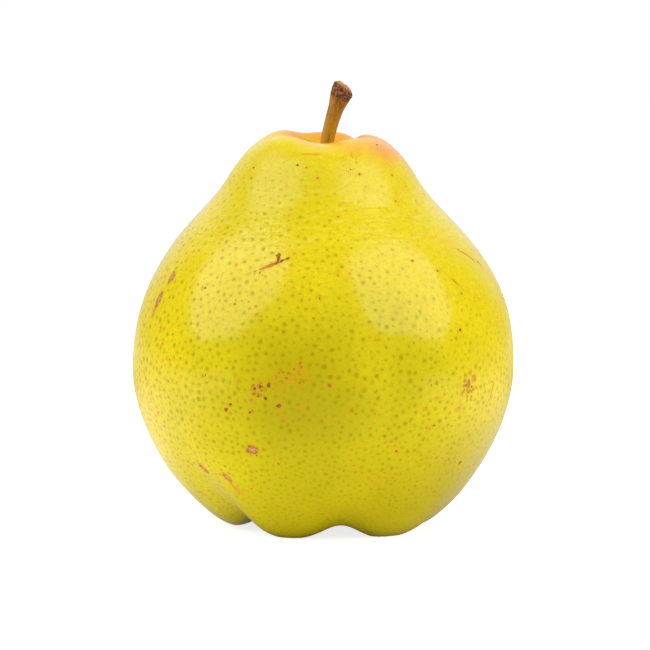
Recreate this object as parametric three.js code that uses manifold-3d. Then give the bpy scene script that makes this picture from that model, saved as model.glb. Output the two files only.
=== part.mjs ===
// A squat dessert pear with five lobes, its stem and its dried calyx, standing on its base.
// Millimetres, +Z up. The origin is on the table, on the fruit's own axis.
// Azimuths are in degrees about +Z, from +X towards +Y, so -90 is the side that faces -Y.

import * as THREE from "three";
import { mergeVertices } from "three/addons/utils/BufferGeometryUtils.js";
import Module from "manifold-3d";

const wasm = await Module();
wasm.setup();

// ---- Driving dimensions ----

// An outline is a list of knots. A knot is a place on the outline, the way the outline runs there,
// in degrees from outwards towards up, and how far its bend reaches back and on along that way.

// The fruit, from the eye underneath to the pit that the stem grows from.
const FRUIT = [
  { name: "eye", radius: 0, height: 8.5, way: 0, back: 0, on: 6 },
  { name: "foot", radius: 21.5, height: -0.35, way: 0, back: 7, on: 7.2 },
  { name: "belly", radius: 45, height: 38.5, way: 90, back: 17.4, on: 16.5 },
  { name: "waist", radius: 30.5, height: 72.4, way: 134, back: 12, on: 4.5 },
  { name: "neck", radius: 22.2, height: 82.3, way: 121, back: 4.5, on: 5.6 },
  { name: "rim", radius: 10.5, height: 92.2, way: 178, back: 5, on: 3.5 },
  { name: "pit", radius: 0, height: 86.5, way: 180, back: 4.5, on: 0 },
];
const FRUIT_ROWS = 64;
const FRUIT_COLUMNS = 80;

// Furrows between the lobes of the base. They fade out over reach, up the side from the foot.
const BASE_FURROWS = [
  { azimuth: -139, depth: 4.2, width: 4.6, reach: 34 },
  { azimuth: -79, depth: 3.3, width: 6.0, reach: 24 },
  { azimuth: -20, depth: 1.8, width: 7.0, reach: 34 },
  { azimuth: 56, depth: 2.8, width: 6.5, reach: 26 },
  { azimuth: 134, depth: 3.0, width: 6.0, reach: 28 },
];
const FURROW_SPREAD = 0.6; // how much wider a furrow is where it ends

// Folds that gather round the stem. They fade out over reach, down the side from the rim.
const STEM_FOLDS = [
  { azimuth: -172, depth: 0.6, width: 3.2, reach: 9 },
  { azimuth: -92, depth: 1.1, width: 6.0, reach: 9 },
  { azimuth: -8, depth: 0.6, width: 3.0, reach: 11 },
  { azimuth: 47, depth: 2.3, width: 2.6, reach: 19 },
  { azimuth: 118, depth: 0.6, width: 4.0, reach: 9 },
];

// Low swellings and hollows. At is how far up the skin from the foot the middle of one lies.
const SWELLS = [
  { azimuth: -164, at: 6, height: -1.3, across: 11, along: 12 },
  { azimuth: 165, at: 3, height: 0.5, across: 8, along: 8 },
  { azimuth: 176, at: 68, height: -0.7, across: 20, along: 14 },
  { azimuth: -44, at: 11, height: 1.1, across: 9, along: 11 },
  { azimuth: 140, at: 113, height: 1.0, across: 6, along: 5 },
  { azimuth: -138, at: 112, height: 0.7, across: 6, along: 5 },
];

// The stem, along its own line. It leans towards +X, and its head is cut a little off square.
const STEM = [
  { name: "root", radius: 0, height: 0, way: 0, back: 0, on: 0.9 },
  { name: "heel", radius: 1.35, height: 1.4, way: 90, back: 0.9, on: 2 },
  { name: "shank", radius: 1.55, height: 8, way: 88, back: 3, on: 3 },
  { name: "throat", radius: 1.82, height: 15.6, way: 86, back: 2.5, on: 1.2 },
  { name: "head", radius: 2.48, height: 19.6, way: 84, back: 1.5, on: 0.8 },
  { name: "lip", radius: 1.9, height: 21.6, way: 160, back: 0.6, on: 0.5 },
  { name: "cut", radius: 0, height: 21.9, way: 180, back: 0.9, on: 0 },
];
const STEM_LINE = [
  [-0.4, 0, 83],
  [1.0, 0, 91],
  [2.4, 0.2, 96.6],
  [3.9, 0.4, 101],
  [5.1, 0.5, 104.4],
];
const STEM_ROWS = 36;
const STEM_COLUMNS = 20;
const CUT_SLOPE = 0.3; // how fast the cut falls towards +X, across the stem
const CUT_FROM = 17.5; // where on the stem the slope begins to show

// The calyx in the eye: five dried sepals round a tuft of dried stamens in a small cup.
const TUFT = [
  { name: "seat", radius: 0, height: 6.6, way: 0, back: 0, on: 0.8 },
  { name: "brush", radius: 1.5, height: 7.3, way: 80, back: 0.5, on: 0.8 },
  { name: "throat", radius: 1.2, height: 9.2, way: 100, back: 0.8, on: 0.6 },
  { name: "cup", radius: 0, height: 10.6, way: 180, back: 0.7, on: 0 },
];
const TUFT_ROWS = 12;
const TUFT_COLUMNS = 16;
const SEPALS = [
  { azimuth: -66, length: 4.2, curl: 0.1, drop: 24 },
  { azimuth: 4, length: 3.6, curl: 0.16, drop: 30 },
  { azimuth: 79, length: 4.4, curl: 0.08, drop: 22 },
  { azimuth: 149, length: 3.8, curl: 0.13, drop: 34 },
  { azimuth: -138, length: 4.0, curl: 0.05, drop: 28 },
];
const SEPAL_WIDTH = 2.2;
const SEPAL_THICKNESS = 0.45;
const SEPAL_ROOT = { radius: 2.3, height: 7.7 };

const GAP = 0.3; // between pieces that grow together on the fruit
const GROUND = 140; // side of the block that flattens the lobes' feet at height 0

// ---- Shapes ----

const radians = THREE.MathUtils.degToRad;
const fade = (share) => THREE.MathUtils.smoothstep(share, 0, 1);
const bell = (distance, width) => Math.exp(-((distance / width) ** 2));

// The smooth path through an outline's knots, with x as the radius and y as the height.
function outlinePath(knots) {
  const path = new THREE.CurvePath();
  const reach = (knot, distance) => {
    const way = new THREE.Vector2(Math.cos(radians(knot.way)), Math.sin(radians(knot.way)));
    return new THREE.Vector2(knot.radius, knot.height).addScaledVector(way, distance);
  };
  for (let k = 1; k < knots.length; k += 1) {
    const [a, b] = [knots[k - 1], knots[k]];
    path.add(new THREE.CubicBezierCurve(reach(a, 0), reach(a, a.on), reach(b, -b.back), reach(b, 0)));
  }
  return path;
}

// An outline turned about +Y, with each point of the skin moved out by offset(azimuth, along, radius).
// Azimuth 0 is +X here, and azimuth -90 is +Z, which rise() turns to -Y.
function turned(knots, rows, columns, offset) {
  const path = outlinePath(knots);
  const geometry = new THREE.LatheGeometry(path.getSpacedPoints(rows), columns);
  const position = geometry.getAttribute("position");
  for (let i = 0; i < position.count; i += 1) {
    const row = i % (rows + 1);
    const column = Math.floor(i / (rows + 1)) % columns;
    const share = row / rows;
    const turn = (column / columns) * 2 * Math.PI;
    const spot = path.getPoint(share);
    const way = path.getTangent(share);
    const out = offset(turn - Math.PI / 2, share * path.getLength(), spot.x);
    const radius = row === 0 || row === rows ? 0 : spot.x + out * way.y;
    position.setXYZ(i, radius * Math.sin(turn), spot.y - out * way.x, radius * Math.cos(turn));
  }
  return geometry;
}

// Stands a turned shape up along +Z.
const rise = (geometry) => geometry.rotateX(Math.PI / 2);

// The distance on the skin, round the axis, from an azimuth in degrees to one in radians.
function round(from, azimuth, radius) {
  const turn = THREE.MathUtils.euclideanModulo(azimuth - radians(from) + Math.PI, 2 * Math.PI);
  return (turn - Math.PI) * radius;
}

// How far the fruit's skin stands out of its plain outline.
function fruitOffset(azimuth, along, radius) {
  const lengths = outlinePath(FRUIT).getCurveLengths();
  const foot = lengths[0];
  const rim = lengths[FRUIT.findIndex((knot) => knot.name === "rim") - 1];
  const end = lengths.at(-1);
  let out = 0;
  for (const furrow of BASE_FURROWS) {
    const up = (along - foot) / furrow.reach;
    const strength = up < 0 ? fade(along / foot) : fade(1 - up);
    const width = furrow.width * (1 + FURROW_SPREAD * THREE.MathUtils.clamp(up, 0, 1));
    out -= furrow.depth * strength * bell(round(furrow.azimuth, azimuth, radius), width);
  }
  for (const fold of STEM_FOLDS) {
    const strength = along > rim ? fade((end - along) / (end - rim)) : fade(1 - (rim - along) / fold.reach);
    out -= fold.depth * strength * bell(round(fold.azimuth, azimuth, radius), fold.width);
  }
  for (const swell of SWELLS) {
    const strength = bell(along - foot - swell.at, swell.along);
    out += swell.height * strength * bell(round(swell.azimuth, azimuth, radius), swell.across);
  }
  return out;
}

// The stem, thickened by extra all over, bent along its line with its head cut on the slope.
function stemShape(extra) {
  const geometry = turned(STEM, STEM_ROWS, STEM_COLUMNS, () => extra);
  const line = new THREE.CatmullRomCurve3(STEM_LINE.map((spot) => new THREE.Vector3(...spot)));
  const length = line.getLength();
  const position = geometry.getAttribute("position");
  for (let i = 0; i < position.count; i += 1) {
    const [side, height, front] = [position.getX(i), position.getY(i), position.getZ(i)];
    const along = height - CUT_SLOPE * side * fade((height - CUT_FROM) / (length - CUT_FROM));
    const share = THREE.MathUtils.clamp(along / length, 0, 1);
    const way = line.getTangentAt(share);
    const right = new THREE.Vector3(0, 1, 0).cross(way).normalize();
    const near = right.clone().cross(way);
    const spot = line.getPointAt(share).addScaledVector(way, along - share * length);
    spot.addScaledVector(right, side).addScaledVector(near, front);
    position.setXYZ(i, ...spot);
  }
  return geometry;
}

// A pointed blade from the origin along +X, curling down towards its tip.
function sepalShape({ length, curl }) {
  const geometry = new THREE.BoxGeometry(length, SEPAL_WIDTH, SEPAL_THICKNESS, 8, 4, 1);
  geometry.translate(length / 2, 0, 0);
  const position = geometry.getAttribute("position");
  for (let i = 0; i < position.count; i += 1) {
    const along = position.getX(i);
    const taper = 1 - 0.85 * (along / length) ** 2;
    const across = position.getY(i) * taper;
    position.setXYZ(i, along, across, position.getZ(i) - curl * along ** 2 - 0.12 * across ** 2);
  }
  return geometry;
}

// ---- Solids ----

function toSolid(geometry) {
  const skin = new THREE.BufferGeometry().setIndex(geometry.getIndex());
  const merged = mergeVertices(skin.setAttribute("position", geometry.getAttribute("position")));
  const corners = merged.getIndex().array;
  const triangles = [];
  for (let c = 0; c < corners.length; c += 3) {
    const [a, b, d] = corners.subarray(c, c + 3);
    if (a !== b && b !== d && d !== a) triangles.push(a, b, d);
  }
  const vertProperties = new Float32Array(merged.getAttribute("position").array);
  const triVerts = new Uint32Array(triangles);
  return new wasm.Manifold(new wasm.Mesh({ numProp: 3, vertProperties, triVerts }));
}

function toGeometry(solid) {
  const mesh = solid.getMesh();
  const geometry = new THREE.BufferGeometry();
  geometry.setAttribute("position", new THREE.BufferAttribute(mesh.vertProperties, 3));
  geometry.setIndex(new THREE.BufferAttribute(mesh.triVerts, 1));
  geometry.computeVertexNormals();
  return geometry;
}

// ---- The pear ----

function named(name, geometry, material) {
  const mesh = new THREE.Mesh(geometry, material);
  mesh.name = name;
  return mesh;
}

function matt(color, roughness) {
  return new THREE.MeshStandardMaterial({ color, roughness, metalness: 0 });
}

function fruit() {
  const ground = new THREE.BoxGeometry(GROUND, GROUND, GROUND).translate(0, 0, -GROUND / 2);
  const cuts = [stemShape(GAP), rise(turned(TUFT, TUFT_ROWS, TUFT_COLUMNS, () => GAP)), ground];
  const whole = toSolid(rise(turned(FRUIT, FRUIT_ROWS, FRUIT_COLUMNS, fruitOffset)));
  const solid = cuts.reduce((rest, cut) => rest.subtract(toSolid(cut)), whole);
  return named("fruit", toGeometry(solid), matt(0xddc924, 0.35));
}

function stem() {
  return named("stem", stemShape(0), matt(0x9a6420, 0.7));
}

function calyx() {
  const group = new THREE.Group();
  const tuft = rise(turned(TUFT, TUFT_ROWS, TUFT_COLUMNS, () => 0));
  group.add(named("stamen_tuft", tuft, matt(0x3a2a1c, 0.9)));
  SEPALS.forEach((sepal, index) => {
    const turn = radians(sepal.azimuth);
    const mesh = named(`sepal_${index + 1}`, sepalShape(sepal), matt(0x5a4630, 0.85));
    mesh.position.set(Math.cos(turn), Math.sin(turn), 0).multiplyScalar(SEPAL_ROOT.radius);
    mesh.position.z = SEPAL_ROOT.height;
    mesh.rotation.set(0, radians(sepal.drop), turn, "ZYX");
    group.add(mesh);
  });
  return group;
}

const pear = new THREE.Group();
pear.add(fruit(), stem(), calyx());

export default pear;
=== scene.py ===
# %% [markdown]
# # A squat dessert pear
#
# A pear is one fleshy body under a thin waxed skin. A woody stem grows from a pit on top, and the
# dried flower, the calyx, is left in a basin underneath. The body comes from one outline turned
# about an axis, because a fruit grows evenly round its core, and its lobes and folds are then
# pressed into that even shape. The skin's dots, scars and colour are laid over it afterwards.
#
# Lengths are in millimetres until they reach a mesh, where MM turns them into metres.

import math

import bmesh
import bpy
import numpy as np
from mathutils import Matrix, Quaternion, Vector, kdtree, noise
from mathutils.geometry import interpolate_bezier


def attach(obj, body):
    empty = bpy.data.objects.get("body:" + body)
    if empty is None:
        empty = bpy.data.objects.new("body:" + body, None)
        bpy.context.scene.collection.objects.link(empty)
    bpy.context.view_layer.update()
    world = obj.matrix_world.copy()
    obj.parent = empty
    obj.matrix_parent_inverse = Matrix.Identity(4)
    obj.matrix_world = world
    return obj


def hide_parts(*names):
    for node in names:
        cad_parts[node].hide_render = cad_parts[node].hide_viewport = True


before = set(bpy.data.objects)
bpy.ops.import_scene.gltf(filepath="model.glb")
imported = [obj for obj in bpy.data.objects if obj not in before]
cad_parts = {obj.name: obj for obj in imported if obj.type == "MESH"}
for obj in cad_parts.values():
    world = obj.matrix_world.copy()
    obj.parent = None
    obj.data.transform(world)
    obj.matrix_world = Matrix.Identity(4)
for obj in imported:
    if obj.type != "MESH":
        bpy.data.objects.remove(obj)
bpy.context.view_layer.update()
MM = 0.001
print("nodes:", ", ".join(sorted(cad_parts)))

# %% [markdown]
# ## The camera
#
# The pear is seen from a little above the table, from far enough away that it looks almost flat-on.
# A long lens at that distance does it, and the lens follows from how wide a strip should be seen.
# The camera comes first, so that every later look is through the same view.

# %% Camera
VIEW_DISTANCE = 1.25
VIEW_ELEVATION = 6.5
VIEW_WIDTH = 0.1531
VIEW_MIDDLE = Vector((0.00045, 0.0, 0.0474))
SENSOR = 36.0
NEAREST, FARTHEST = 0.05, 20.0

tilt = math.radians(VIEW_ELEVATION)
camera = bpy.data.objects.new("camera", bpy.data.cameras.new("camera"))
bpy.context.collection.objects.link(camera)
camera.data.sensor_width = SENSOR
camera.data.lens = SENSOR * VIEW_DISTANCE / VIEW_WIDTH
camera.location = VIEW_MIDDLE + VIEW_DISTANCE * Vector((0, -math.cos(tilt), math.sin(tilt)))
camera.rotation_euler = (math.pi / 2 - tilt, 0, 0)
camera.data.clip_start, camera.data.clip_end = NEAREST, FARTHEST
bpy.context.scene.camera = camera
print(f"lens {camera.data.lens:.0f} mm")

# %% [markdown]
# ## Outlines
#
# Every turned piece here starts as an outline of a few knots. A knot is a place, the way the
# outline runs there, in degrees from outwards towards up, and how far its bend reaches back and on.
# A Bezier curve joins two knots smoothly, and points at equal steps along it keep the mesh even.

# %% From knots to points at equal steps
CURVE_POINTS = 120


def evenly(dense, steps):
    """Points at equal distances along a dense line, and those distances."""
    dense = np.array(dense)
    distance = np.append(0, np.cumsum(np.linalg.norm(np.diff(dense, axis=0), axis=1)))
    even = np.linspace(0, distance[-1], steps + 1)
    return np.column_stack([np.interp(even, distance, column) for column in dense.T]), even


def stride(way, distance):
    """A step of some distance, along a way given in degrees from outwards towards up."""
    way = math.radians(way)
    return Vector((math.cos(way), math.sin(way))) * distance


def outline(knots, steps):
    """Rows of radius and height along an outline, and how far along it they lie."""
    dense = []
    for (_, *here, way, _, on), (_, *there, next_way, back, _) in zip(knots, knots[1:]):
        start, end = Vector(here), Vector(there)
        leave, arrive = start + stride(way, on), end - stride(next_way, back)
        bend = interpolate_bezier(start, leave, arrive, end, CURVE_POINTS)
        dense.extend(bend[bool(dense):])
    return evenly(dense, steps)


# %% The pear's outline, from the eye underneath to the pit on top
#         name    radius height  way  back  on
FRUIT = [
    ("eye", 0.0, 8.5, 0, 0, 6),
    ("foot", 21.5, -0.35, 0, 7, 7.2),
    ("belly", 45.0, 38.5, 90, 17.4, 16.5),
    ("waist", 30.5, 72.4, 134, 12, 4.5),
    ("neck", 22.2, 82.3, 121, 4.5, 5.6),
    ("rim", 10.5, 92.2, 178, 5, 3.5),
    ("pit", 0.0, 86.5, 180, 4.5, 0),
]
FOOT_AT = outline(FRUIT[:2], 1)[1][-1]
RIM_AT = outline(FRUIT[:6], 1)[1][-1]
PIT_AT = outline(FRUIT, 1)[1][-1]
print(f"the skin's foot is {FOOT_AT:.0f} mm from the eye, its rim {RIM_AT:.0f} and its pit {PIT_AT:.0f}")

# %% [markdown]
# ## Turning an outline
#
# A spin sweeps the outline once round the z axis. The points on the axis are swept on the spot, so
# they are merged into one, which closes both poles. Each step of a spin takes longer than the one
# before, so the spin is coarse, a subdivision cuts its faces up, and every point then moves back
# onto the outline. A layer on the vertices says how far along it they lie.
#
# A spin numbers its faces in another order each time it runs. Random numbers handed out in that
# order would never fall on the same spot twice, so the points are sorted by their row and column,
# and take their exact places from these whole numbers.

# %% Spin an outline into a closed mesh
CUTS = 3
FINE = 4000
TOUCHING = 1e-4


def turned(name, knots, rows, columns):
    """A turned piece, and for each of its points the way along, the azimuth, the radius and height."""
    bm = bmesh.new()
    layer = bm.verts.layers.float.new("along")
    line, along = outline(knots, rows)
    verts = [bm.verts.new((radius, 0, height)) for radius, height in line]
    for vert, distance in zip(verts, along):
        vert[layer] = distance
    edges = [bm.edges.new(pair) for pair in zip(verts, verts[1:])]
    sweep = {"cent": (0, 0, 0), "axis": (0, 0, 1), "angle": 2 * math.pi, "steps": columns}
    bmesh.ops.spin(bm, geom=verts + edges, use_merge=True, **sweep)
    bmesh.ops.remove_doubles(bm, verts=bm.verts, dist=TOUCHING)
    bmesh.ops.subdivide_edges(bm, edges=bm.edges, cuts=CUTS, use_grid_fill=True)
    bmesh.ops.recalc_face_normals(bm, faces=bm.faces)
    rows, columns = rows * (CUTS + 1), columns * (CUTS + 1)

    def place_in_grid(vert):
        row = round(vert[layer] / along[-1] * rows)
        column = round(math.atan2(vert.co.y, vert.co.x) / (2 * math.pi) * columns)
        return row * columns + column % columns

    bm.verts.sort(key=place_in_grid)
    row, column = np.divmod([place_in_grid(vert) for vert in bm.verts], columns)
    exact = row / rows * along[-1]
    line, distance = outline(knots, FINE)
    radius, height = (np.interp(exact, distance, places) for places in line.T)
    return finished(name, bm), exact, column / columns * 2 * math.pi, radius, height


def put(piece, points):
    """Moves every point of a piece to its place, given in millimetres."""
    piece.data.vertices.foreach_set("co", np.asarray(points).ravel() * MM)
    piece.data.update()


def finished(name, bm):
    """Makes a smooth-shaded object of a bmesh."""
    mesh = bpy.data.meshes.new(name)
    bm.to_mesh(mesh)
    bm.free()
    mesh.shade_smooth()
    piece = bpy.data.objects.new(name, mesh)
    bpy.context.collection.objects.link(piece)
    return piece


def read(items, field, width=1):
    """One field of many mesh items as an array."""
    values = np.empty(len(items) * width)
    items.foreach_get(field, values)
    return values.reshape(-1, width) if width > 1 else values


def store(mesh, name, domain, vectors):
    """Keeps a vector for each item of a domain, for a material to read."""
    attribute = mesh.attributes.new(name, "FLOAT_VECTOR", domain)
    attribute.data.foreach_set("vector", np.asarray(vectors, dtype=np.float32).ravel())


# %% [markdown]
# ## Lobes, folds and swellings
#
# The flesh of a pear bulges between five furrows at its base, and the skin gathers in small folds
# where the stem holds it. Each is a smooth bell-shaped dent across the skin that fades out along it.
# Adding up dents keeps the surface smooth, where sculpted creases would need many more points.
# A knock, a flat side or a bulge is the same kind of move with its own middle. The tables are the
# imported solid's, but for the furrow at -20 degrees, which is 0.8 mm shallower and ends a little lower.

# %% Tables of furrows, folds and swellings
#    azimuth, depth, width, reach
BASE_FURROWS = [
    (-139, 4.2, 4.6, 34),
    (-79, 3.3, 6.0, 24),
    (-20, 1.0, 7.0, 30),
    (56, 2.8, 6.5, 26),
    (134, 3.0, 6.0, 28),
]
FURROW_SPREAD = 0.6
STEM_FOLDS = [
    (-172, 0.6, 3.2, 9),
    (-92, 1.1, 6.0, 9),
    (-8, 0.6, 3.0, 11),
    (47, 2.3, 2.6, 19),
    (118, 0.6, 4.0, 9),
]
#    azimuth, distance up from the foot, height, reach across, reach along
SWELLS = [
    (-164, 6, -1.3, 11, 12),
    (165, 3, 0.5, 8, 8),
    (176, 68, -0.7, 20, 14),
    (-44, 11, 1.1, 9, 11),
    (140, 113, 1.0, 6, 5),
    (-138, 112, 0.7, 6, 5),
]
print(len(BASE_FURROWS), "furrows,", len(STEM_FOLDS), "folds and", len(SWELLS), "swellings")


# %% How far the skin stands out
def fade(share):
    """Runs smoothly from 0 to 1 as a share does."""
    share = np.clip(share, 0, 1)
    return share * share * (3 - 2 * share)


def bell(distance, width):
    """1 in the middle, and next to nothing two widths away."""
    return np.exp(-((distance / width) ** 2))


def across(start, azimuth, radius):
    """The distance round the skin from an azimuth in degrees to others in radians."""
    turn = (azimuth - math.radians(start) + math.pi) % (2 * math.pi) - math.pi
    return turn * radius


def fruit_offset(azimuth, along, radius):
    """How far the skin stands out of the even outline."""
    out = np.zeros_like(along)
    up = along - FOOT_AT
    for start, depth, width, reach in BASE_FURROWS:
        strength = np.where(up < 0, fade(along / FOOT_AT), fade(1 - up / reach))
        spread = width * (1 + FURROW_SPREAD * np.clip(up / reach, 0, 1))
        out -= depth * strength * bell(across(start, azimuth, radius), spread)
    for start, depth, width, reach in STEM_FOLDS:
        inside = fade((PIT_AT - along) / (PIT_AT - RIM_AT))
        strength = np.where(along > RIM_AT, inside, fade(1 - (RIM_AT - along) / reach))
        out -= depth * strength * bell(across(start, azimuth, radius), width)
    for start, at, height, wide, tall in SWELLS:
        out += height * bell(up - at, tall) * bell(across(start, azimuth, radius), wide)
    return out


# %% [markdown]
# ## Living skin isn't ruled
#
# A real fruit never follows its outline exactly. Slow noise pushes the skin in and out by a tenth
# of a millimetre or so, which is too little to see as a shape but makes the edges of a reflection
# wander. The neck leans a third of a millimetre towards -X, away from the stem's own lean. The eye
# gets a small cup for the stamens, and each lobe is flattened where it stands.

# %% Build the fruit
WAVES = ((17.0, 0.16), (7.0, 0.05), (3.0, 0.012))
CUP_DEPTH = 2.2
CUP_WIDTH = 1.6
LEAN, LEAN_AT, LEAN_OVER = -0.35, 74, 17
STILL_RADIUS = 2.0
FRUIT_ROWS = 59
FRUIT_COLUMNS = 100


def waves(points, sizes, seed):
    """Adds up noise of a few sizes and heights at each point. The seed picks its place in the noise."""
    total = np.zeros(len(points))
    for size, height in sizes:
        shift = Vector((seed, -seed, size))
        total += height * np.array([noise.noise(Vector(point) / size + shift) for point in points])
    return total


def build_fruit():
    """Moves each point out along the outline's normal, and keeps the points by the axis still."""
    fruit, along, azimuth, radius, height = turned("pear_fruit", FRUIT, FRUIT_ROWS, FRUIT_COLUMNS)
    line, distance = outline(FRUIT, FINE)
    slope = np.gradient(line, axis=0)
    slope /= np.linalg.norm(slope, axis=1, keepdims=True)
    run, rise = (np.interp(along, distance, column) for column in slope.T)
    even = np.column_stack([radius * np.cos(azimuth), radius * np.sin(azimuth), height])
    out = fruit_offset(azimuth, along, radius) + waves(even, WAVES, seed=3.7)
    height = height - out * run + CUP_DEPTH * bell(radius, CUP_WIDTH) * (along < FOOT_AT)
    radius = radius + out * rise * fade(radius / STILL_RADIUS)
    x = radius * np.cos(azimuth) + LEAN * bell(height - LEAN_AT, LEAN_OVER)
    put(fruit, np.column_stack([x, radius * np.sin(azimuth), np.maximum(height, 0)]))
    return fruit


fruit = build_fruit()
print(f"fruit: {len(fruit.data.vertices)} vertices, {fruit.dimensions.x / MM:.1f} mm across")

# %% [markdown]
# ## Lenticels
#
# The dots on a pear's skin are lenticels, the pores it breathes through. They keep their distance
# from each other, so noise alone looks wrong. One random place on each face is tried in a random
# order, and every place that is kept rules out those too near it, which gives an even but never
# regular scatter. Each face then stores how far its corners lie from the nearest dot, in dot radii,
# and the material only has to ask whether that distance is small.

# %% Where the dots are, by height, and how large
HEIGHTS = (0, 14, 38, 60, 78, 85, 91)
DOT_GAPS = (1.0, 1.15, 1.5, 1.6, 1.85, 1.4, 0.9)
DOT_RADII = (0.30, 0.36, 0.50, 0.40, 0.42, 0.24, 0.11)
DOT_SPREAD = (0.55, 1.25)


def random_places(mesh, rng):
    """One random place on each face, with the faces in order of the vertices at their corners."""
    corner = read(mesh.vertices, "co", 3) / MM
    used = read(mesh.loops, "vertex_index").astype(int)
    start, sides = (read(mesh.polygons, field).astype(int) for field in ("loop_start", "loop_total"))
    lowest, highest, added = (kind.reduceat(used, start) for kind in (np.minimum, np.maximum, np.add))
    # These three numbers tell a face from every other, and they are the same on each run.
    order = np.lexsort((added, highest, lowest))
    middle = (np.add.reduceat(corner[used], start) / sides[:, None])[order]
    # A face's diagonal splits into its width, round the axis, and its height, up the skin.
    diagonal = (corner[highest] - corner[lowest])[order]
    east = np.column_stack([-middle[:, 1], middle[:, 0], np.zeros(len(middle))])
    east /= np.linalg.norm(east, axis=1, keepdims=True)
    sideways = (diagonal * east).sum(axis=1, keepdims=True) * east
    share = rng.uniform(-0.5, 0.5, (2, len(middle), 1))
    return middle + share[0] * sideways + share[1] * (diagonal - sideways)


def kept_apart(places, gaps, rng):
    """The places left when each one that is kept rules out those within its gap."""
    tree = kdtree.KDTree(len(places))
    for index, place in enumerate(places):
        tree.insert(place, index)
    tree.balance()
    free = np.full(len(places), True)
    kept = []
    for index in rng.permutation(len(places)):
        if free[index]:
            kept.append(index)
            free[[near for _, near, _ in tree.find_range(places[index], gaps[index])]] = False
    return places[kept]


rng = np.random.default_rng(11)
candidates = random_places(fruit.data, rng)
dots = kept_apart(candidates, np.interp(candidates[:, 2], HEIGHTS, DOT_GAPS), rng)
print(f"{len(dots)} lenticels on {len(candidates)} faces")

# %% Store each corner's place in its dot, and each dot's own look
middles = read(fruit.data.polygons, "center", 3) / MM
corner_points = read(fruit.data.vertices, "co", 3) / MM
corner_points = corner_points[read(fruit.data.loops, "vertex_index").astype(int)]
corner_faces = np.repeat(np.arange(len(middles)), read(fruit.data.polygons, "loop_total").astype(int))


def mark_dots(mesh, rng):
    """Gives each face to the dot nearest to it."""
    tree = kdtree.KDTree(len(dots))
    for index, dot in enumerate(dots):
        tree.insert(dot, index)
    tree.balance()
    nearest = np.array([tree.find(middle)[1] for middle in middles])
    radii = np.interp(dots[:, 2], HEIGHTS, DOT_RADII) * rng.uniform(*DOT_SPREAD, len(dots))
    mine = nearest[corner_faces]
    store(mesh, "dot_place", "CORNER", (corner_points - dots[mine]) / radii[mine, None])
    store(mesh, "dot_look", "FACE", rng.uniform(0, 1, (len(dots), 3))[nearest])


mark_dots(fruit.data, rng)

# %% [markdown]
# ## Scars and specks
#
# Skin that was rubbed or pecked heals with cork, which dries tan and pink with a dark rim. Smaller
# hurts leave rusty or black specks. A few large ones have places of their own, some come in
# clusters, and the rest are strewn all round. Each is an ellipse on the skin, stored like the dots:
# a place measured in half lengths and half widths, and a colour.

# %% Colours are written in sRGB and used in linear light
def linear(code):
    """An RGBA colour in linear light from a hex code such as dccb18."""
    shares = [int(code[start:start + 2], 16) / 255 for start in (0, 2, 4)]
    return (*[s / 12.92 if s <= 0.04045 else ((s + 0.055) / 1.055) ** 2.4 for s in shares], 1.0)


CORK, CRUST, RUST, AMBER, SOOT = "cc8e42", "8c4a08", "c47a0a", "e0a412", "3a2a10"
CORK_PALE = "ecb880"
print("cork in linear light:", [round(share, 3) for share in linear(CORK)])

# %% Scars with places of their own
#    colour, azimuth, height, length, width, turn
SCARS = [
    (CRUST, -113.2, 64.0, 3.8, 0.24, 28),
    (RUST, -108.6, 65.2, 5.4, 0.85, 28),
    (CRUST, -106.2, 65.9, 3.0, 0.85, 28),
    (CRUST, -103.4, 66.6, 1.8, 0.5, 28),
    (CRUST, -106.6, 66.5, 1.6, 0.85, 85),
    (CRUST, -106.8, 67.3, 1.3, 1.1, 60),
    (CORK, -152, 60.6, 3.0, 1.9, 75),
    (CORK, -155, 55.4, 4.4, 2.1, 72),
    (AMBER, -156, 52.4, 2.6, 1.2, 75),
    (CORK, -113, 23.0, 2.9, 2.4, 0),
    (CORK, -137, 16.8, 3.2, 1.4, -55),
    (CORK, -126, 15.5, 2.8, 1.5, -50),
    (AMBER, -124, 13.0, 4.0, 0.8, -55),
    (CRUST, -103, 33.8, 1.2, 0.9, 30),
    (CRUST, -120, 32.3, 1.0, 0.9, 0),
    (CRUST, -112, 32.0, 0.7, 0.6, 0),
    (RUST, -88, 38.7, 0.9, 0.8, 0),
    (CRUST, -36, 17.9, 1.1, 0.7, 40),
    (AMBER, -104, 89.5, 4.0, 0.5, 3),
    (AMBER, -100, 89.1, 4.6, 0.5, -2),
    (AMBER, -102, 88.6, 3.0, 0.4, 0),
    (CRUST, -26, 66.5, 4.0, 0.25, -35),
    (CRUST, -22, 65.0, 5.0, 0.25, -42),
    (CRUST, -16, 63.0, 4.0, 0.25, -50),
    (CRUST, -40, 60.4, 2.6, 0.22, -50),
    (CORK, -29, 34.4, 4.4, 0.4, 80),
    (SOOT, -108, 86.7, 0.6, 0.5, 0),
    (SOOT, -140, 83.3, 0.5, 0.4, 0),
    (SOOT, -132, 59.4, 0.5, 0.5, 0),
    (SOOT, -33, 90.6, 0.6, 0.5, 0),
    (SOOT, -39, 57.7, 0.5, 0.4, 0),
    (CORK, 70, 48.0, 3.6, 1.6, 55),
    (CORK, 148, 30.0, 2.6, 2.0, 10),
    (RUST, 105, 62.0, 7.0, 0.35, -30),
]
print(len(SCARS), "scars with places of their own")

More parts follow.
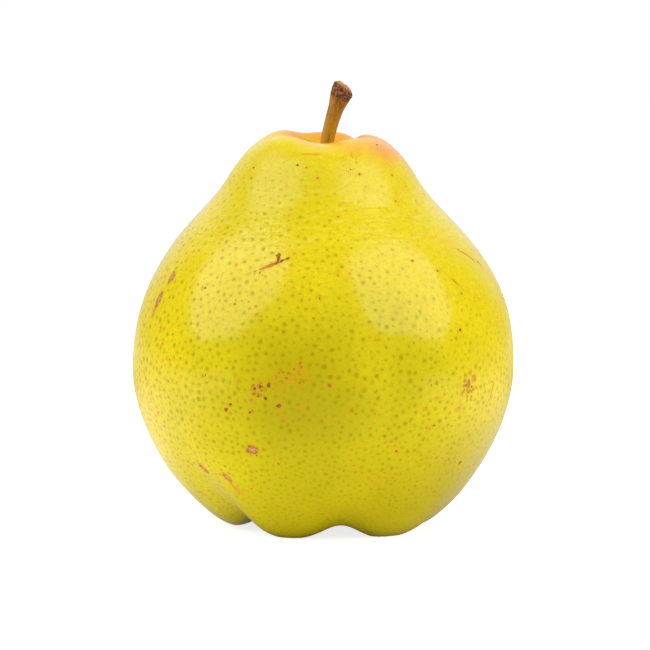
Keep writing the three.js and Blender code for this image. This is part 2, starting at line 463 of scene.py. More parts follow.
# %% Clusters and strewn specks
#    colours, azimuth, height, spread round, spread up, size, count
CLUSTERS = [
    ((CORK, CRUST, RUST), -109, 37.0, 2.2, 2.6, 0.85, 18),
    ((RUST, AMBER, AMBER), -99, 41.5, 4.4, 2.6, 0.7, 40),
    ((CORK, RUST, AMBER), -42, 36.6, 2.6, 2.4, 0.95, 26),
    ((CORK, RUST), -45, 31.6, 0.8, 1.0, 0.7, 6),
    ((RUST, CRUST), -83, 5.5, 3.0, 1.8, 0.5, 14),
    ((RUST, CRUST), -71, 87.0, 6.0, 3.0, 0.26, 40),
    ((RUST, CRUST), 30, 55.0, 4.0, 5.0, 0.6, 12),
    ((CORK, CRUST), 95, 20.0, 2.0, 2.5, 1.0, 8),
]
STREWN = {RUST: 110, AMBER: 90, CRUST: 45, CORK: 14, SOOT: 34}
CLUSTER_LENGTHS, CLUSTER_WIDTH = (0.5, 1.4), 0.75
STREWN_LENGTH = 0.45
STREWN_LENGTHS, STREWN_WIDTHS = (0.5, 1.5), (0.4, 1)
BELLY_RADIUS = FRUIT[2][1]
HALF_HEIGHT = FRUIT[5][2] / 2
STREWN_HEIGHTS = (0.03, 1.97)


def all_scars(rng):
    """The scars of the table, those of the clusters and those strewn all round, as rows alike."""
    scars = list(SCARS)
    for colors, azimuth, height, wide, tall, size, count in CLUSTERS:
        for index in range(count):
            side, up = rng.normal(0, 0.5, 2) * (wide, tall)
            azimuth_here = azimuth + math.degrees(side / BELLY_RADIUS)
            length = size * rng.uniform(*CLUSTER_LENGTHS)
            shape = (length, length * CLUSTER_WIDTH, rng.uniform(0, 180))
            scars.append((colors[index % len(colors)], azimuth_here, height + up, *shape))
    for color, count in STREWN.items():
        for _ in range(count):
            length = STREWN_LENGTH * rng.uniform(*STREWN_LENGTHS)
            shape = (length, length * rng.uniform(*STREWN_WIDTHS), rng.uniform(0, 180))
            azimuth, height = rng.uniform(-180, 180), HALF_HEIGHT * rng.uniform(*STREWN_HEIGHTS)
            scars.append((color, azimuth, height, *shape))
    return scars


scars = all_scars(np.random.default_rng(21))
print(f"{len(scars)} scars and specks")

# %% Lay the scars on the skin
FAR = 9.0
DEEP = 3.0
TURNED_IN = -0.2
FLATTEST = 0.3


def mark_scars(mesh):
    """Stores each corner's place in the nearest scar, and that scar's colour and half width.

    A scar's home is the outer face nearest its azimuth and height, never one inside the pit or
    the eye, whose normals point back towards the middle of the pear.
    """
    azimuths = np.degrees(np.arctan2(middles[:, 1], middles[:, 0]))
    normals = read(mesh.polygons, "normal", 3)
    outside = normals[:, 2] * (middles[:, 2] - HALF_HEIGHT) > TURNED_IN
    scar_place = np.full((len(corner_points), 3), FAR)
    nearest = np.full(len(middles), FAR)
    color, half = np.ones((2, len(middles), 3))
    for code, azimuth, height, length, width, turn in scars:
        off = np.hypot((azimuths - azimuth + 180) % 360 - 180, middles[:, 2] - height)
        home = np.argmin(np.where(outside, off, np.inf))
        up = Vector(normals[home])
        east = Vector((0, 0, 1)).cross(up).normalized()
        north = up.cross(east)
        round_skin = math.radians(azimuth - azimuths[home]) * np.hypot(*middles[home, :2])
        up_skin = (height - middles[home, 2]) / max(north.z, FLATTEST)
        middle = middles[home] + east * round_skin + north * up_skin
        lengthwise = east * math.cos(math.radians(turn)) + north * math.sin(math.radians(turn))
        ways = np.array([lengthwise * 2 / length, up.cross(lengthwise) * 2 / width, up / DEEP]).T
        ratio = np.linalg.norm((middles - middle) @ ways, axis=1)
        mine = ratio < nearest
        nearest[mine], color[mine], half[mine] = ratio[mine], linear(code)[:3], width / 2
        here = mine[corner_faces]
        scar_place[here] = (corner_points[here] - middle) @ ways
    store(mesh, "scar_place", "CORNER", scar_place)
    store(mesh, "scar_color", "FACE", color)
    store(mesh, "scar_half_width", "FACE", half)
    return np.count_nonzero(nearest < FAR)


print(mark_scars(fruit.data), "faces lie in or near a scar")

# %% [markdown]
# ## Materials as recipes
#
# A material is a tree of nodes. One function adds a node, sets its options and fills its inputs,
# in order or by name, with values or with the outputs that feed them. Three short recipes use it
# again and again: factors multiplied, terms added up, and colours laid over a base.

# %% One function for every node, and three recipes
def add(tree, kind, inputs=(), **options):
    """Adds a node and returns its first output."""
    node = tree.nodes.new("ShaderNode" + kind)
    for name, value in options.items():
        setattr(node, name, value)
    shown = [socket for socket in node.inputs if socket.enabled]
    by_name = {socket.name: socket for socket in shown}
    for key, value in inputs.items() if isinstance(inputs, dict) else enumerate(inputs):
        socket = by_name[key] if isinstance(key, str) else shown[key]
        if isinstance(value, bpy.types.NodeSocket):
            tree.links.new(value, socket)
        else:
            socket.default_value = value
    return next((socket for socket in node.outputs if socket.enabled), None)


def product(tree, factors):
    """Multiplies factors, each a number or a node's output."""
    result, *others = factors
    for factor in others:
        result = add(tree, "Math", [result, factor], operation="MULTIPLY")
    return result


def total(tree, start, terms):
    """Adds to a start value the product of each term's factors."""
    for *factors, last in terms:
        start = add(tree, "Math", [product(tree, factors), last, start], operation="MULTIPLY_ADD")
    return start


def layered(tree, base, layers):
    """Lays each layer's colour over what is below it, as strongly as its factors multiply to."""
    for code, *factors in layers:
        over = code if isinstance(code, bpy.types.NodeSocket) else linear(code)
        base = add(tree, "Mix", {"Factor": product(tree, factors), "A": base, "B": over}, data_type="RGBA")
    return base


def new_material(name):
    """An empty material and its tree."""
    material = bpy.data.materials.new(name)
    material.use_nodes = True
    material.node_tree.nodes.clear()
    return material, material.node_tree


def finish_material(tree, inputs):
    """Feeds the shader and shows it."""
    shader = add(tree, "BsdfPrincipled", inputs)
    add(tree, "OutputMaterial", {"Surface": shader})


# %% [markdown]
# ## Skin
#
# A ripe pear's skin is a thin cuticle of natural wax over green-yellow cells. Light goes a little
# way into the flesh before it comes back, so shadows on it stay warm. The wax gives one even gloss
# that is soft at the edges of a reflection. Its IOR of 1.40 is near that of plant wax, and its
# roughness is low where it is whole. Colour comes first: yellow where the sun and the store ripened it,
# greener at the foot and where a leaf or a neighbour shaded it, and peach round the stem. Painted
# shade also darkens the foot and a spot in front, and pale painted glints lie on the wrinkles at
# the waist and on fine creases at one spot by it. The dots and scars are laid over it from what the
# mesh stores, with noise to tear their edges. Cork has no wax, so a black Specular Tint takes the
# gloss off scars and a part of it off dots.
#
# Each noise below has the size of a real thing on a pear. Those with a real size beside them are
# drawn coarser than that, because the real ones are too fine to show.

# %% Patterns on the skin, with their sizes in millimetres
# SHADED is the spot in front where the skin is greenest and where painted shade is darkest.
SHADED = (-4, -42, 38)
LEAF = (-12, -24, 80)
CREASED = (-13.5, -28, 69.5)
SKIN_GREEN, SKIN_MID, SKIN_YELLOW, PEACH = "cabc12", "dccb18", "f2d91c", "f49e46"
SKIN_SHADE, PAINTED_GLINT = "b0a008", "f8ec78"
DOT_GREEN, DOT_RUST, RUSSET = "a08c00", "c88010", "8a6a34"
WRINKLE_STRETCH = (0.16, 0.16, 1.1)


def skin_patterns(tree):
    """Noises on the skin, and what its mesh stores, by name."""
    at = add(tree, "TexCoord").node.outputs["Object"]
    mm = add(tree, "Mapping", {"Vector": at, "Scale": (1 / MM, 1 / MM, 1 / MM)})
    flattened = add(tree, "Mapping", {"Vector": mm, "Scale": WRINKLE_STRETCH})
    x, y, z = add(tree, "SeparateXYZ", [mm]).node.outputs
    p = {"mm": mm, "x": x, "y": y, "z": z}
    radial = add(tree, "CombineXYZ", [x, y])
    p["from_axis"] = add(tree, "VectorMath", [radial], operation="LENGTH")
    for name, vector, size, detail in [
        ("patches", mm, 26, 2),  # areas that ripened together, two or three centimetres wide
        ("blotches", mm, 6, 3),  # uneven blush
        ("worn", mm, 5, 4),  # wax rubbed by fingers and leaves
        ("creases", mm, 2.0, 2),  # folds in the wax
        ("mottle", mm, 1.4, 4),  # groups of green cells, really about 0.3 mm
        ("russet", mm, 1.1, 4),  # flakes of russet by the eye
        ("layers", flattened, 1, 3),  # growth wrinkles that run round the waist, 1 mm by 6 mm
        ("peel", mm, 0.9, 2),  # low relief from dot to dot
        ("torn", mm, 0.55, 3),  # edges of scars, really about 0.2 mm
        ("ragged", mm, 0.35, 1),  # edges of dots and crumbs of cork, really about 0.1 mm
        ("grain", mm, 0.22, 3),  # wax grain, really about 0.02 mm
    ]:
        p[name] = add(tree, "TexNoise", {"Vector": vector, "Scale": 1 / size, "Detail": detail})
    for name in ("dot_place", "scar_place"):
        place = add(tree, "Attribute", attribute_name=name).node.outputs["Vector"]
        p[name] = add(tree, "VectorMath", [place], operation="LENGTH")
    look = add(tree, "Attribute", attribute_name="dot_look").node.outputs["Vector"]
    p["dot_strength"], p["dot_warmth"], _ = add(tree, "SeparateXYZ", [look]).node.outputs
    p["half_width"] = add(tree, "Attribute", attribute_name="scar_half_width").node.outputs["Fac"]
    p["scar_color"] = add(tree, "Attribute", attribute_name="scar_color").node.outputs["Color"]
    return p


# %% Masks on the skin
def skin_masks(tree):
    """Adds to the patterns the masks that say where each finish lies, from 0 to 1."""
    p = skin_patterns(tree)

    # Greenest at a shaded spot in front, riper away from there, upwards and a little towards -X.
    for name, spot in (("to_shade", SHADED), ("to_leaf", LEAF), ("to_crease", CREASED)):
        p[name] = add(tree, "VectorMath", [p["mm"], spot], operation="DISTANCE").node.outputs["Value"]
    ripening = [(p["patches"], 0.5), (p["to_shade"], 0.007), (p["z"], 0.0045), (p["x"], -0.001)]
    p["ripe"] = total(tree, 0.2, ripening)
    # Slanted heights: towards +X the foot's green and its painted shade reach higher, the blush and the
    # pale dots lower.
    p["to_foot"] = total(tree, p["z"], [(p["x"], -0.3)])
    p["warm"] = total(tree, p["z"], [(p["x"], 0.24), (p["y"], 0.15), (p["blotches"], 5)])
    p["faded"] = total(tree, p["z"], [(p["x"], 0.8)])
    p["off_crease"] = add(tree, "Math", [total(tree, -0.5, [(p["creases"], 1)])], operation="ABSOLUTE")
    p["sideways"] = total(tree, add(tree, "Math", [p["x"]], operation="ABSOLUTE"), [(p["z"], -0.35)])
    p["dot_edge"] = total(tree, p["dot_place"], [(p["ragged"], 1.5)])
    p["scar_edge"] = total(tree, p["scar_place"], [(p["torn"], 1.8)])
    p["scar_off"] = total(tree, 0, [(p["half_width"], total(tree, p["scar_place"], [(-1, 1)]))])
    for name, source, low, high in [
        ("less_green", "ripe", 0.62, 0.82),
        ("yellow", "ripe", 0.74, 0.96),
        ("greener_and_painted_shade", "to_shade", 19, 6),
        ("leafy", "to_leaf", 22, 6),
        ("blush", "warm", 89.2, 95.5),
        ("flush", "blotches", 0.35, 0.65),
        ("cells", "mottle", 0.3, 0.7),
        ("freckled", "torn", 0.4, 0.65),
        ("core", "dot_edge", 1.95, 1.25),
        ("halo", "dot_edge", 3.3, 1.3),
        ("plain", "faded", 92, 62),
        ("rusty", "dot_warmth", 0.86, 0.97),
        ("scar", "scar_edge", 2.05, 1.7),
        ("rim", "scar_edge", 1.3, 1.8),
        ("kernel", "scar_edge", 1.45, 1.05),
        ("bruise", "scar_off", 1.1, 0.0),
        ("crumbs", "ragged", 0.4, 0.6),
        ("broad", "half_width", 0.2, 0.8),
        ("foot", "to_foot", 25, 0),
        ("low", "z", 14, 12),
        ("side", "sideways", 14, 27),
        ("neck", "z", 74, 86),
        ("eye", "from_axis", 8.5, 2.5),
        ("patchy", "russet", 0.25, 0.6),
        ("over_waist", "z", 62, 70),
        ("under_neck", "z", 86, 76),
        ("streak", "layers", 0.5, 0.65),
        ("crease", "off_crease", 0.035, 0.01),
        ("creased", "to_crease", 9, 4),
    ]:
        p[name] = add(tree, "MapRange", [p[source], low, high], interpolation_type="SMOOTHSTEP")
    return p


# %% Waxed skin
def skin_material():
    """Colours first, then relief, then how the wax is worn."""
    material, tree = new_material("waxed_pear_skin")
    p = skin_masks(tree)

    # Some dots are strong and some weak, and all are paler up at the neck and towards +X.
    own_strength = total(tree, 0.2, [(p["dot_strength"], 0.45)])
    keep = product(tree, [own_strength, total(tree, 0.3, [(p["plain"], 0.7)])])
    flushed = total(tree, 0.66, [(p["flush"], 0.3)])
    dot_color = layered(tree, linear(DOT_GREEN), [(DOT_RUST, p["rusty"])])
    color = layered(tree, linear(SKIN_GREEN), [
        (SKIN_MID, p["less_green"]),
        (SKIN_YELLOW, p["yellow"]),
        (SKIN_MID, p["leafy"], 0.6),
        (SKIN_GREEN, p["cells"], 0.28),
        (SKIN_SHADE, p["freckled"], 0.22),
        # The foot is partly greener skin and partly painted shade on the lobes near the ground.
        (SKIN_SHADE, p["foot"], 0.8),
        # Round the spot in front the skin is partly greener and partly darkened with painted shade.
        (SKIN_SHADE, p["greener_and_painted_shade"], 0.38),
        # The pale lines on the waist's wrinkles and on the fine creases beside them are painted glints.
        (PAINTED_GLINT, p["streak"], p["over_waist"], p["under_neck"], 0.16),
        (PAINTED_GLINT, p["crease"], p["creased"], 0.4),
        (PEACH, p["blush"], flushed),
        (dot_color, p["halo"], keep, 0.3),
        (dot_color, p["core"], keep),
        (AMBER, p["bruise"], 0.22),
        (p["scar_color"], p["scar"]),
        (CRUST, p["rim"], p["scar"], p["broad"], 0.45),
        (CORK_PALE, p["freckled"], p["scar"], p["broad"], 0.4),
        (CRUST, p["crumbs"], p["scar"], p["broad"], 0.5),
        (CORK_PALE, p["kernel"], p["broad"], 0.6),
        (RUSSET, p["low"], p["eye"], p["patchy"]),
    ])

    # Relief in millimetres: a faint peel, wrinkles at the waist, sunken pores and raised cork.
    height = total(tree, 0, [
        (p["peel"], 0.012),
        (p["grain"], 0.003),
        (p["layers"], p["over_waist"], p["under_neck"], 0.08),
        (p["core"], -0.015),
        (p["scar"], p["crumbs"], 0.06),
    ])
    # The wax is worn a little unevenly, more so round the neck and on both sides from the belly down.
    roughness = total(tree, 0.09, [
        (p["worn"], 0.10),
        (p["neck"], 0.12),
        (p["side"], 0.18),
        (p["scar"], 0.35),
    ])
    unwaxed = [("000000", p["core"], 0.35), ("000000", p["scar"], 0.8)]
    finish_material(tree, {
        "Base Color": color,
        "Roughness": roughness,
        "Specular Tint": layered(tree, linear("ffffff"), unwaxed),
        "IOR": 1.40,
        "Subsurface Weight": 0.12,
        "Subsurface Radius": (1.0, 0.7, 0.15),
        "Subsurface Scale": 0.003,
        "Normal": add(tree, "Bump", {"Distance": MM, "Height": height}),
    })
    return material


fruit.data.materials.append(skin_material())
print("skin:", len(fruit.data.materials[0].node_tree.nodes), "nodes")

# %% [markdown]
# ## Stem
#
# The stem is wood: a bundle of fibres under thin bark, thickening to a knot where it broke from the
# twig. It is turned straight first, like the fruit, roughened, and only then bent along its line.
# Its straight place is stored on the mesh, so the grain in its material follows the bend.

# %% The stem's outline and its line
STEM = [
    ("root", 0.0, 0.0, 0, 0, 0.9),
    ("heel", 1.35, 1.4, 90, 0.9, 2),
    ("shank", 1.55, 8.0, 88, 3, 3),
    ("throat", 1.82, 15.6, 86, 2.5, 1.2),
    ("head", 2.48, 19.6, 84, 1.5, 0.8),
    ("lip", 1.9, 21.6, 160, 0.6, 0.5),
    ("cut", 0.0, 21.9, 180, 0.9, 0),
]
STEM_ROWS = 38
STEM_COLUMNS = 18
STEM_LINE = [(-0.4, 0, 83), (1.0, 0, 91), (2.4, 0.2, 96.6), (3.9, 0.4, 101), (5.1, 0.5, 104.4)]
CUT_SLOPE = 0.3
CUT_FROM = 17.5
LINE_POINTS = 40


def smooth_line(points, steps):
    """Points at equal distances on a smooth line through a few, and those distances."""
    points = [Vector(point) for point in points]
    ends = [2 * points[0] - points[1], *points, 2 * points[-1] - points[-2]]
    dense = []
    for before, a, b, after in zip(ends, ends[1:], ends[2:], ends[3:]):
        bend = interpolate_bezier(a, a + (b - before) / 6, b - (after - a) / 6, b, LINE_POINTS)
        dense.extend(bend[bool(dense):])
    return evenly(dense, steps)


stem_line, stem_distance = smooth_line(STEM_LINE, FINE)
print(f"the stem's line is {stem_distance[-1]:.1f} mm long")

# %% Build the stem
FIBRE_WAVES = ((1.4, 0.05), (0.6, 0.03))
FIBRE_STRETCH = 0.12
KNOT_WAVES = ((1.3, 0.22), (0.6, 0.16), (0.3, 0.06))
KNOT_RISE = 2.2
BREAK_WAVES = ((0.9, 0.25), (0.35, 0.12))
BREAK_FROM, BREAK_RISE = 20.8, 0.8


def build_stem():
    """Roughens the straight stem, slopes its cut, and bends it along its line."""
    stem, _, azimuth, radius, height = turned("pear_stem", STEM, STEM_ROWS, STEM_COLUMNS)
    straight = np.column_stack([radius * np.cos(azimuth), radius * np.sin(azimuth), height])
    knot = fade((height - CUT_FROM) / KNOT_RISE)
    bumps = waves(straight * (1, 1, FIBRE_STRETCH), FIBRE_WAVES, seed=1.3) * (1 - 0.5 * knot)
    bumps += waves(straight, KNOT_WAVES, seed=4.1) * knot
    side, front = straight.T[:2] * (1 + bumps * fade(radius) / np.maximum(radius, 0.1))

    sloped = side * fade((height - CUT_FROM) / (stem_distance[-1] - CUT_FROM))
    broken = waves(straight, BREAK_WAVES, seed=8.8) * fade((height - BREAK_FROM) / BREAK_RISE)
    along = height - CUT_SLOPE * sloped + broken

    def on_line(rows):
        return np.column_stack([np.interp(along, stem_distance, column) for column in rows.T])

    middle, way = on_line(stem_line), on_line(np.gradient(stem_line, axis=0))
    way /= np.linalg.norm(way, axis=1, keepdims=True)
    right = np.cross((0, 1, 0), way)
    right /= np.linalg.norm(right, axis=1, keepdims=True)
    back = np.cross(way, right)
    past = np.maximum(along - stem_distance[-1], 0)
    put(stem, middle + past[:, None] * way + side[:, None] * right + front[:, None] * back)
    store(stem.data, "grain", "POINT", straight)
    return stem


stem = build_stem()
print(f"stem: {len(stem.data.vertices)} vertices, {stem.dimensions.z / MM:.1f} mm tall")

# %% [markdown]
# Dry bark over wood, unfinished, so it is matt with only a faint sheen where the fibres lie
# smooth. The fibres run along the stem, so the noise that colours them is stretched that way. Real
# fibres are a few hundredths of a millimetre wide, and these are drawn as bundles of 0.35 to 0.9 mm.
# The knot at the head is dark and crumbly, and the break through it shows paler, pinkish wood.
# The stem's side towards the left box is painted lighter, as painted light.

# %% Bark of a pear stem
def bark_material():
    """Golden brown at the root, darker upwards, with a dark knot, a pale break, and painted light on the
    side towards the left box.
    """
    material, tree = new_material("dry_pear_stem_bark")
    grain = add(tree, "Attribute", attribute_name="grain").node.outputs["Vector"]
    fibres = add(tree, "Mapping", {"Vector": grain, "Scale": (1, 1, 0.16)})
    across, _, up = add(tree, "SeparateXYZ", [grain]).node.outputs
    p = {"across": across, "up": up}
    for name, vector, size, detail in [
        ("streaks", fibres, 0.5, 3),
        ("shades", fibres, 0.9, 4),
        ("strands", fibres, 0.35, 3),
        ("flecks", grain, 0.28, 2),
        ("edge", grain, 0.9, 3),
        ("crumbs", grain, 0.45, 4),
        ("pits", grain, 0.22, 3),
    ]:
        p[name] = add(tree, "TexNoise", {"Vector": vector, "Scale": 1 / size, "Detail": detail})
    p["knot_edge"] = total(tree, p["up"], [(p["edge"], 1.6)])
    for name, source, low, high in [
        ("higher", "up", 11.0, 18.0),
        ("painted_lit_side", "across", -0.3, -1.5),
        ("pale", "streaks", 0.42, 0.66),
        ("dark", "shades", 0.52, 0.72),
        ("fleck", "flecks", 0.60, 0.70),
        ("knot", "knot_edge", 18.6, 19.6),
        ("crumb", "crumbs", 0.35, 0.65),
        ("pit", "pits", 0.54, 0.66),
        ("broken", "up", 21.1, 21.4),
    ]:
        p[name] = add(tree, "MapRange", [p[source], low, high], interpolation_type="SMOOTHSTEP")
    knot_color = layered(tree, linear("582a12"), [("a86e46", p["crumb"]), ("260e06", p["pit"], 0.85)])
    broken_color = layered(tree, linear("bc7c4c"), [("e2aa80", p["crumb"])])
    color = layered(tree, linear("ba8608"), [
        ("94560c", p["higher"]),
        # Painted light: the side towards the left box is lighter.
        ("d29a50", p["painted_lit_side"], 0.5),
        ("c8943c", p["pale"], 0.4),
        ("703c08", p["dark"], 0.5),
        ("deb06a", p["fleck"], 0.45),
        ("5a3006", p["pit"], 0.35),
        (knot_color, p["knot"]),
        (broken_color, p["broken"], 0.9),
    ])
    height = total(tree, 0, [(p["strands"], 0.1), (p["crumb"], p["knot"], 0.16)])
    finish_material(tree, {
        "Base Color": color,
        "Roughness": total(tree, 0.52, [(p["knot"], 0.2)]),
        "Specular IOR Level": 0.2,
        "Normal": add(tree, "Bump", {"Distance": MM, "Height": height}),
    })
    return material


stem.data.materials.append(bark_material())
print("bark:", len(stem.data.materials[0].node_tree.nodes), "nodes")

# %% [markdown]
# ## Calyx
#
# Under the fruit the flower's five sepals have dried to curled brown blades round a tuft of dried
# stamens. A blade starts as a small grid, is drawn to a point and curled, and gets its thickness
# last. A stamen is a thin cone with a few rings, so that it can droop and bend.

# %% Sepals
#    azimuth, length, curl, drop
SEPALS = [
    (-66, 4.2, 0.10, 24),
    (4, 3.6, 0.16, 30),
    (79, 4.4, 0.08, 22),
    (149, 3.8, 0.13, 34),
    (-138, 4.0, 0.05, 28),
]
SEPAL_WIDTH = 2.2
SEPAL_TAPER = 0.85
SEPAL_HOLLOW = 0.2
SEPAL_CRINKLE = 0.25
SEPAL_THICKNESS = 0.3
SEPAL_ROOT = Vector((2.3, 0, 7.7)) * MM


def build_sepal(number, azimuth, length, curl, drop):
    """Shapes a blade along +X, gives it its thickness and turns it to its place."""
    bm = bmesh.new()
    bmesh.ops.create_grid(bm, x_segments=24, y_segments=12, size=0.5)
    for vert in bm.verts:
        along = vert.co.x + 0.5
        side = vert.co.y * SEPAL_WIDTH * (1 - SEPAL_TAPER * along**2)
        up = SEPAL_CRINKLE * noise.noise(Vector((along * 4, side * 2, number)))
        up -= curl * (along * length) ** 2 + SEPAL_HOLLOW * side**2
        vert.co = Vector((along * length, side, up)) * MM
    bmesh.ops.recalc_face_normals(bm, faces=bm.faces)
    bmesh.ops.solidify(bm, geom=bm.faces[:], thickness=SEPAL_THICKNESS * MM)
    bmesh.ops.transform(bm, verts=bm.verts, matrix=(
        Matrix.Rotation(math.radians(azimuth), 4, "Z")
        @ Matrix.Translation(SEPAL_ROOT)
        @ Matrix.Rotation(math.radians(drop), 4, "Y")
    ))
    bmesh.ops.recalc_face_normals(bm, faces=bm.faces)
    return finished(f"dried_sepal_{number}", bm)


sepals = [build_sepal(number, *shape) for number, shape in enumerate(SEPALS, 1)]
print(len(sepals), "sepals")

# %% Stamens
STAMENS = 26
STAMEN_RADIUS = 0.14
STAMEN_TIP = 0.07
STAMEN_LENGTHS = (2.3, 3.6)
STAMEN_BENDS = (-0.35, 0.5)
STAMEN_RINGS = 5
SEAT_RADII = (1.05, 0.7)
SEAT_HEIGHT = 0.8
SEAT_AT = 9.5
SPREAD, DROOP = 0.85, 0.75
GOLDEN_ANGLE = math.radians(137.5)


def build_stamens(rng):
    """Sets cones in a spiral on a small seat. Each is cut up while it is 1 long, then drawn out."""
    bm = bmesh.new()
    wide, narrow = (radius * MM for radius in SEAT_RADII)
    seat = {"radius1": wide, "radius2": narrow, "depth": SEAT_HEIGHT * MM}
    bmesh.ops.create_cone(bm, cap_ends=True, segments=24, **seat)
    bmesh.ops.translate(bm, verts=bm.verts, vec=(0, 0, SEAT_AT * MM))
    for index in range(STAMENS):
        before = set(bm.verts)
        size = {"radius1": STAMEN_TIP * MM, "radius2": STAMEN_RADIUS * MM, "depth": 1.0}
        bmesh.ops.create_cone(bm, cap_ends=True, segments=8, **size)
        uncut = [edge for edge in bm.edges if edge.calc_length() > 0.9]
        bmesh.ops.subdivide_edges(bm, edges=uncut, cuts=STAMEN_RINGS)
        azimuth, lean = index * GOLDEN_ANGLE, math.sqrt((index + 0.5) / STAMENS)
        length, bend = rng.uniform(*STAMEN_LENGTHS), rng.uniform(*STAMEN_BENDS)
        for vert in set(bm.verts) - before:
            down = 0.5 - vert.co.z
            out = (SPREAD * lean + DROOP * lean * down + bend * down**2) * MM
            height = (SEAT_AT - length * down) * MM
            vert.co = (vert.co.x + out * math.cos(azimuth), vert.co.y + out * math.sin(azimuth), height)
    bmesh.ops.recalc_face_normals(bm, faces=bm.faces)
    return finished("dried_stamens", bm)


stamens = build_stamens(np.random.default_rng(8))
print(f"stamens: {len(stamens.data.polygons)} faces")

# %% [markdown]
# Both are dead flower tissue: papery, matt and brown. They have shrunk unevenly, so pale and dark
# patches about half a millimetre wide lie next to each other, and the surface is crumpled with them.

# %% Dried flower
def dried_material(name, dark, pale, size, roughness):
    """Dead tissue in two browns, mixed by noise of a size in millimetres."""
    material, tree = new_material(name)
    at = add(tree, "TexCoord").node.outputs["Object"]
    mm = add(tree, "Mapping", {"Vector": at, "Scale": (1 / MM, 1 / MM, 1 / MM)})
    papery = add(tree, "TexNoise", {"Vector": mm, "Scale": 1 / size, "Detail": 4})
    shade = add(tree, "MapRange", [papery, 0.35, 0.65], interpolation_type="SMOOTHSTEP")
    height = total(tree, 0, [(papery, 0.12)])
    finish_material(tree, {
        "Base Color": layered(tree, linear(dark), [(pale, shade)]),
        "Roughness": roughness,
        "Normal": add(tree, "Bump", {"Distance": MM, "Height": height}),
    })
    return material


sepal_finish = dried_material("papery_dried_sepal", "4a3420", "8a7048", 0.5, 0.8)
for sepal in sepals:
    sepal.data.materials.append(sepal_finish)
stamens.data.materials.append(dried_material("brittle_dried_stamens", "2a1c12", "5a4028", 0.4, 0.85))

# %% [markdown]
# ## Take the solids' places
#
# Nothing on a pear moves, so every piece rides on the one body. Each new piece stands for the
# solid of the same part, which stays behind for weight and contact.

# %% Pieces, the solids they stand for, and the record's finishes
PIECES = [
    (fruit, "fruit", "pear_skin"),
    (stem, "stem", "woody_stem"),
    (stamens, "stamen_tuft", "dried_stamens"),
]
PIECES += [(sepal, f"sepal_{number}", "dried_sepal") for number, sepal in enumerate(sepals, 1)]
for piece, node, finish in PIECES:
    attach(piece, "root")
    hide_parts(node)
print(len(PIECES), "pieces")

# %% [markdown]
# ## Light and ground
#
# Two large soft boxes stand high, one on each side, turned a little on their arms. Their reflections
# are what makes the skin look waxed: rounded squares, the left one with a corner cut off. The rest
# of the light is even and comes from all round, weaker from the front than from above and behind.
# All of it together is set so that a colour renders about as it is written.
#
# A lamp's power is its radiance times its area times pi, so a box keeps its brightness in the
# reflection whatever its size.

# %% Soft boxes
BOX_SIDE = 0.65
BOX_DISTANCE = 0.62
BOX_ELEVATION = 38.5
AIM = Vector((0, 0, 0.05))
ROUNDNESS = 4
ROUNDED_EDGE = (1.1, 0.8)
CUT_SOFTNESS = 0.1
NO_CUT = 9


def soft_box(name, azimuth, roll, radiance, cut):
    """A rounded square of light, dark where it lies further right than up by more than the cut."""
    light = bpy.data.lights.new(name, "AREA")
    light.shape, light.size = "SQUARE", BOX_SIDE
    light.energy = radiance * math.pi * BOX_SIDE**2
    light.use_nodes = True
    tree = light.node_tree
    tree.nodes.clear()
    place = add(tree, "NewGeometry").node.outputs["Parametric"]
    centred = add(tree, "Mapping", {"Vector": place, "Location": (-1, -1, 0), "Scale": (2, 2, 0)})
    side, up, _ = add(tree, "SeparateXYZ", [centred]).node.outputs
    powers = [add(tree, "Math", [axis, ROUNDNESS], operation="POWER") for axis in (side, up)]
    rounded = add(tree, "Math", powers, operation="ADD")
    filled = add(tree, "MapRange", [rounded, *ROUNDED_EDGE], interpolation_type="SMOOTHSTEP")
    corner = total(tree, side, [(up, -1)])
    edge = (cut + CUT_SOFTNESS, cut - CUT_SOFTNESS)
    kept = add(tree, "MapRange", [corner, *edge], interpolation_type="SMOOTHSTEP")
    glow = add(tree, "Emission", {"Strength": product(tree, [filled, kept])})
    add(tree, "OutputLight", {"Surface": glow})
    lamp = bpy.data.objects.new(name, light)
    bpy.context.collection.objects.link(lamp)
    turn, rise = math.radians(azimuth), math.radians(BOX_ELEVATION)
    way = Vector((math.cos(rise) * math.cos(turn), math.cos(rise) * math.sin(turn), math.sin(rise)))
    lamp.location = AIM + way * BOX_DISTANCE
    rolled = way.to_track_quat("Z", "Y") @ Quaternion((0, 0, 1), math.radians(roll))
    lamp.rotation_euler = rolled.to_euler()
    lamp.visible_camera = False


soft_box("left_box", azimuth=-161, roll=25, radiance=2.15, cut=1.2)
soft_box("right_box", azimuth=-26, roll=-20, radiance=2.2, cut=NO_CUT)
print(f"two soft boxes, {BOX_SIDE} m square, {BOX_DISTANCE} m away")

# %% [markdown]
# The room has three faces. The eye sees it white, which is the background. The pear is lit by a
# soft fill from it. What the skin mirrors of it is dark in front and white high up behind, so the
# middle of the pear keeps its full colour and its edges turn pale.

# %% Room
FILL_FRONT, FILL_ABOVE = 0.14, 0.7
FILL_FROM, FILL_TO = -0.5, 1.0
FILL_BACKWARD, FILL_UPWARD = 0.5, 0.9
ROOM_BACK = 1.0
BACK_FROM, BACK_TO = 0.7, 1.15
BACK_UPWARD = 0.6

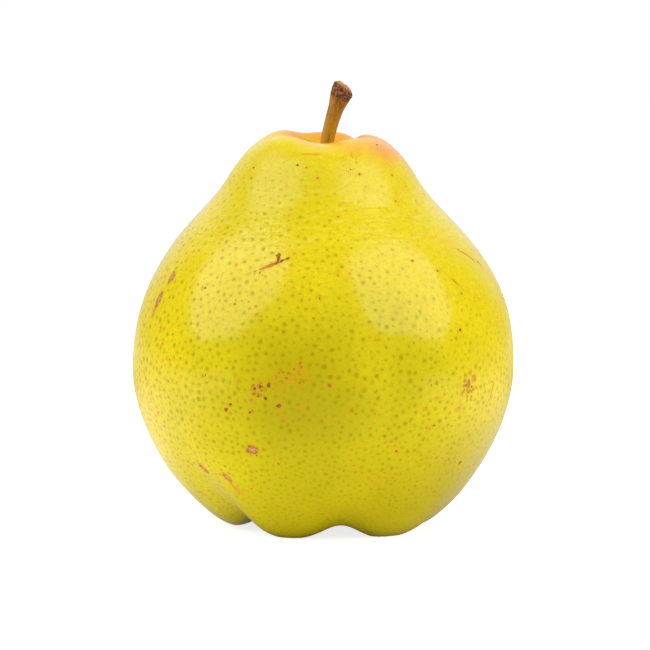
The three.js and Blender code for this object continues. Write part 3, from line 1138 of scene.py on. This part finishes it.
world = bpy.data.worlds.new("studio_room")
bpy.context.scene.world = world
world.use_nodes = True
tree = world.node_tree
tree.nodes.clear()
rays = add(tree, "LightPath").node.outputs
way = add(tree, "TexCoord").node.outputs["Generated"]
_, north, up = add(tree, "SeparateXYZ", [way]).node.outputs
behind = total(tree, north, [(up, BACK_UPWARD)])
to_back = [behind, BACK_FROM, BACK_TO, 0, ROOM_BACK]
behind = add(tree, "MapRange", to_back, interpolation_type="SMOOTHSTEP")
above = total(tree, 0, [(north, FILL_BACKWARD), (up, FILL_UPWARD)])
fill = add(tree, "MapRange", [above, FILL_FROM, FILL_TO, FILL_FRONT, FILL_ABOVE])
seen = total(tree, rays["Is Camera Ray"], [(rays["Is Transmission Ray"], 1)])
to_white = total(tree, 1, [(fill, -1)])
to_mirrored = total(tree, behind, [(fill, -1)])
strength = total(tree, fill, [(seen, to_white), (rays["Is Glossy Ray"], to_mirrored)])
backdrop = add(tree, "Background", {"Color": (1, 1, 1, 1), "Strength": strength})
add(tree, "OutputWorld", {"Surface": backdrop})
print("room:", len(tree.nodes), "nodes")

# %% [markdown]
# The ground is white paper, and it too has three faces. To the eye it glows, so it is as white as
# the room and takes only a faint shadow. It lights the pear from below, most strongly from close by
# but not from right under it, where the lobes keep the light off. What the skin mirrors of it is
# bright beside and behind the pear, with a dimmer strip across the middle of that, and dark in
# front. Each range below runs from one place to another, in metres, and gives a share of 0 to 1 or
# the two shares that it names.

# %% Ground
GROUND_RADIUS = 1.4
GLOW = 0.8
PAPER = 0.6
LIT_SLANT = 0.8
LIT_ASIDE = (-0.03, 0.1)
LIT_CLOSE = (0.8, 0.15)
LIT_LEFT = (-0.08, 0.08, 1.05, 0.9)
STRIP_AT = 0.22
STRIP = (0.02, 0.14, 0.4, 1)
UNDERLIGHT = (0.32, 0.08, 0, 0.74)
UNDER_LEFT = (-0.1, 0.1, 1.1, 0.97)
UNDER_PEAR = (0.018, 0.034)


def ground_material():
    """White paper that gives each kind of ray a glow of its own."""
    material, tree = new_material("white_paper")
    smooth = {"interpolation_type": "SMOOTHSTEP"}
    rays = add(tree, "LightPath").node.outputs
    at = add(tree, "TexCoord").node.outputs["Object"]
    at_east, north, _ = add(tree, "SeparateXYZ", [at]).node.outputs

    east = add(tree, "Math", [at_east], operation="ABSOLUTE")
    aside = add(tree, "MapRange", [total(tree, north, [(east, LIT_SLANT)]), *LIT_ASIDE], **smooth)
    close = add(tree, "MapRange", [east, *LIT_CLOSE], **smooth)
    leftward = add(tree, "MapRange", [at_east, *LIT_LEFT])
    from_strip = add(tree, "Math", [total(tree, north, [(-1, STRIP_AT)])], operation="ABSOLUTE")
    strip = add(tree, "MapRange", [from_strip, *STRIP])
    mirrored = product(tree, [aside, close, leftward, strip])

    away = add(tree, "VectorMath", [at], operation="LENGTH")
    near = add(tree, "MapRange", [away, *UNDERLIGHT], **smooth)
    left_more = add(tree, "MapRange", [at_east, *UNDER_LEFT])
    uncovered = add(tree, "MapRange", [away, *UNDER_PEAR], **smooth)
    lighting = product(tree, [near, left_more, uncovered])

    seen = total(tree, rays["Is Camera Ray"], [(rays["Is Transmission Ray"], 1)])
    strength = total(tree, 0, [
        (seen, GLOW),
        (rays["Is Glossy Ray"], mirrored),
        (rays["Is Diffuse Ray"], lighting),
    ])
    grey = total(tree, PAPER, [(rays["Is Glossy Ray"], -PAPER)])
    glow = add(tree, "Emission", {"Color": (1, 1, 1, 1), "Strength": strength})
    paper = add(tree, "BsdfDiffuse", {"Color": grey})
    add(tree, "OutputMaterial", {"Surface": add(tree, "AddShader", [glow, paper])})
    return material


bm = bmesh.new()
bmesh.ops.create_circle(bm, cap_ends=True, segments=128, radius=GROUND_RADIUS)
ground = finished("ground", bm)
ground.data.materials.append(ground_material())
print(f"ground: {2 * GROUND_RADIUS} m across")

# %% [markdown]
# ## Finish

# The pear has to keep the imported solid's size.

# %% View transform
bpy.context.scene.view_settings.view_transform = "Standard"
